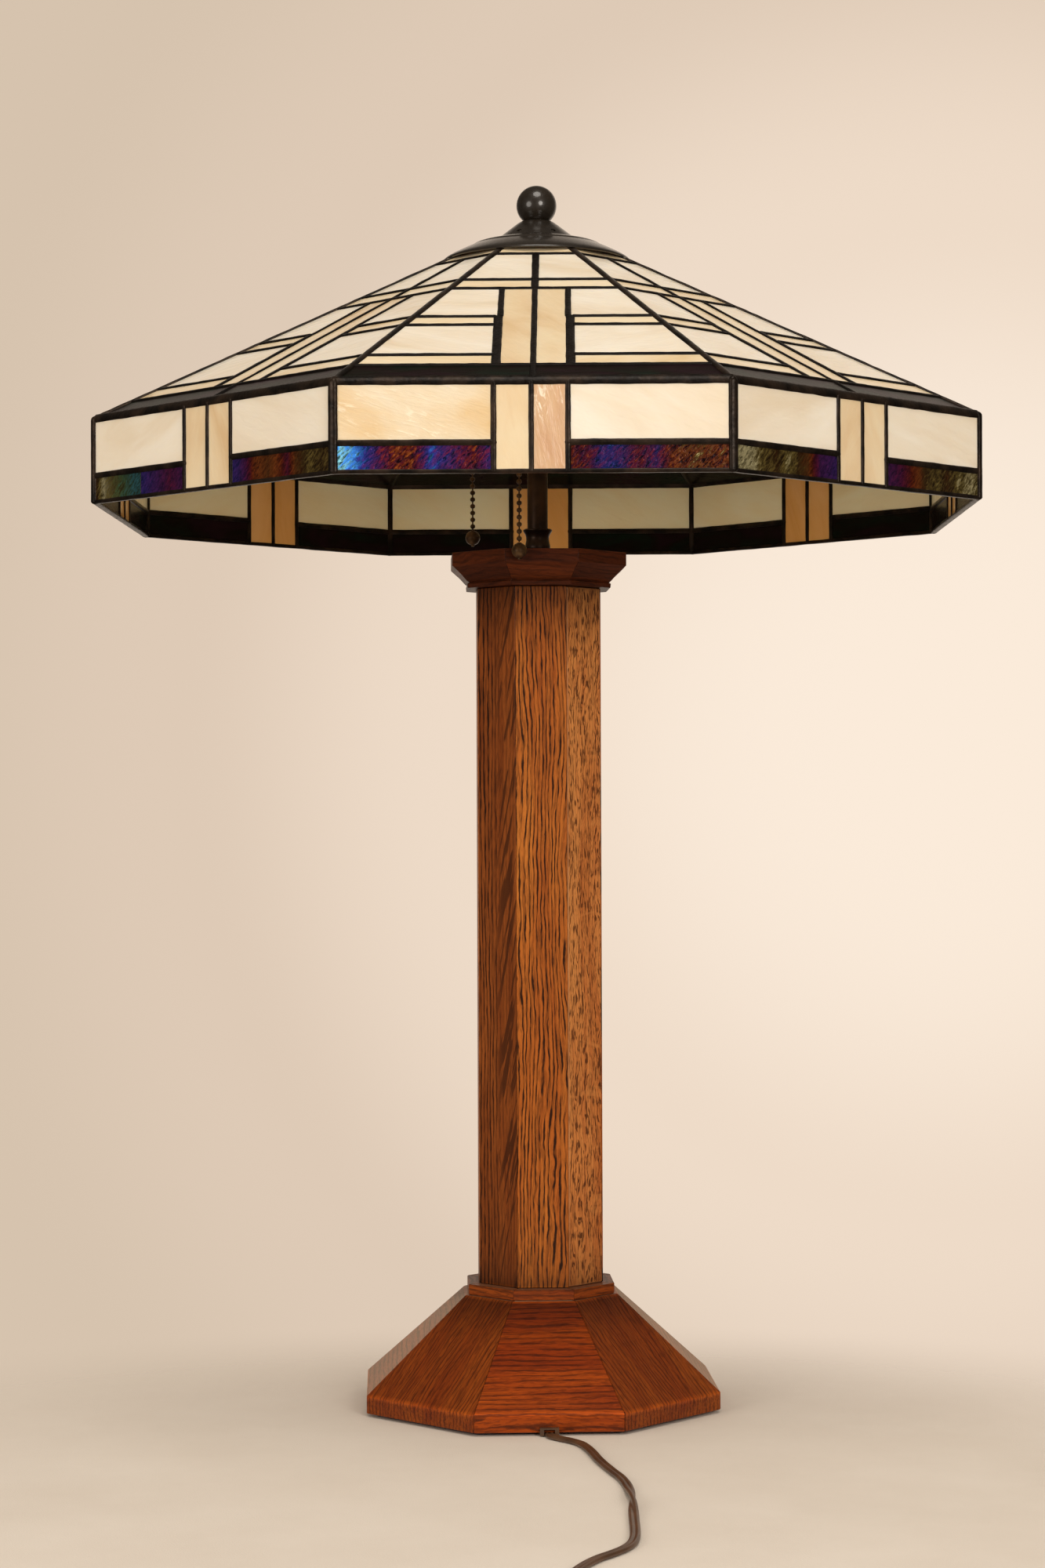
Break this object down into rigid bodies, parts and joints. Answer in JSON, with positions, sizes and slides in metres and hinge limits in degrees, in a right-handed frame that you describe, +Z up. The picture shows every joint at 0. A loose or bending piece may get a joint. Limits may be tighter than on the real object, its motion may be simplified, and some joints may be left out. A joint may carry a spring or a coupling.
{
  "type": "stained glass table lamp",
  "caption": "Table lamp with an octagonal leaded art glass shade on a faceted oak column and sloping oak base, with bead pull chains and a ball finial.",
  "frame": {"origin": "on the lamp's axis, at the underside of the felt pad that it stands on", "axes": "+Z up along the column; -Y is the front, where the cord leaves the base; a flat side of the shade faces each axis"},
  "size_m": [0.5606, 0.8902, 0.8093],
  "materials": {
    "oak_base": "red-brown stained oak, satin varnish",
    "oak_column": "amber-brown stained quartered oak, satin varnish",
    "felt": "dark felt",
    "weight_iron": "rough cast, unpainted",
    "cord_plastic": "brown flexible plastic, satin",
    "pipe_brass": "dull brass plated pipe",
    "bronze": "dark bronze patina with worn copper highlights",
    "chain_brass": "aged brass bead chain",
    "blade_brass": "bright brass",
    "bulb_glass": "frosted white",
    "roof_glass": "opalescent cream, honey and dark art glass",
    "skirt_glass": "opalescent cream, honey and dark art glass",
    "came": "soldered lead and copper bead with a dark patina"
  },
  "bodies": {
    "stand": {"base_board_1": "oak_base", "base_board_2": "oak_base", "base_board_3": "oak_base", "base_board_4": "oak_base", "base_board_5": "oak_base", "base_board_6": "oak_base", "base_board_7": "oak_base", "base_board_8": "oak_base", "base_plinth": "oak_base", "felt_pad": "felt", "base_weight": "weight_iron", "cord_bushing": "cord_plastic", "column_stave_1": "oak_column", "column_stave_2": "oak_column", "column_stave_3": "oak_column", "column_stave_4": "oak_column", "column_stave_5": "oak_column", "column_stave_6": "oak_column", "column_stave_7": "oak_column", "column_stave_8": "oak_column", "column_cap": "oak_column", "lamp_pipe": "pipe_brass", "pipe_nut": "pipe_brass", "stem_cup": "bronze", "stem_tube": "bronze", "lampholder_cluster": "bronze", "riser_pipe": "pipe_brass", "lampholder_1": "bronze", "lampholder_2": "bronze", "cord": "cord_plastic", "cord_coil": "cord_plastic", "plug_body": "cord_plastic", "plug_blade_1": "blade_brass", "plug_blade_2": "blade_brass"},
    "shade": {"roof_panel_1": "roof_glass", "roof_panel_2": "roof_glass", "roof_panel_3": "roof_glass", "roof_panel_4": "roof_glass", "roof_panel_5": "roof_glass", "roof_panel_6": "roof_glass", "roof_panel_7": "roof_glass", "roof_panel_8": "roof_glass", "skirt_panel_1": "skirt_glass", "skirt_panel_2": "skirt_glass", "skirt_panel_3": "skirt_glass", "skirt_panel_4": "skirt_glass", "skirt_panel_5": "skirt_glass", "skirt_panel_6": "skirt_glass", "skirt_panel_7": "skirt_glass", "skirt_panel_8": "skirt_glass", "shade_came": "came", "shade_wheel": "bronze", "shade_cap": "bronze"},
    "finial": {"finial": "bronze"},
    "bulb_1": {"bulb_1": "bulb_glass"},
    "bulb_2": {"bulb_2": "bulb_glass"},
    "pull_1": {"pull_chain_1": "chain_brass", "pull_ball_1": "chain_brass"},
    "pull_2": {"pull_chain_2": "chain_brass", "pull_ball_2": "chain_brass"}
  },
  "joints": [
    {"name": "shade_turn", "type": "hinge", "parent": "stand", "child": "shade", "pos_m": [0, 0, 0.758], "axis": [0, 0, 1], "continuous": true},
    {"name": "finial_turn", "type": "hinge", "parent": "stand", "child": "finial", "pos_m": [0, 0, 0.79], "axis": [0, 0, 1], "range_deg": [0, 2160]},
    {"name": "bulb_1_turn", "type": "hinge", "parent": "stand", "child": "bulb_1", "pos_m": [-0.01724, 0.05747, 0.666], "axis": [-0.2874, 0.9578, 0], "range_deg": [0, 1080]},
    {"name": "bulb_2_turn", "type": "hinge", "parent": "stand", "child": "bulb_2", "pos_m": [0.01724, -0.05747, 0.666], "axis": [0.2874, -0.9578, 0], "range_deg": [0, 1080]},
    {"name": "pull_1_slide", "type": "slide", "parent": "stand", "child": "pull_1", "axis": [0, 0, -1], "range_m": [0, 0.012], "stiffness_N_per_m": 300, "springref_m": -0.003},
    {"name": "pull_2_slide", "type": "slide", "parent": "stand", "child": "pull_2", "axis": [0, 0, -1], "range_m": [0, 0.012], "stiffness_N_per_m": 300, "springref_m": -0.003}
  ]
}
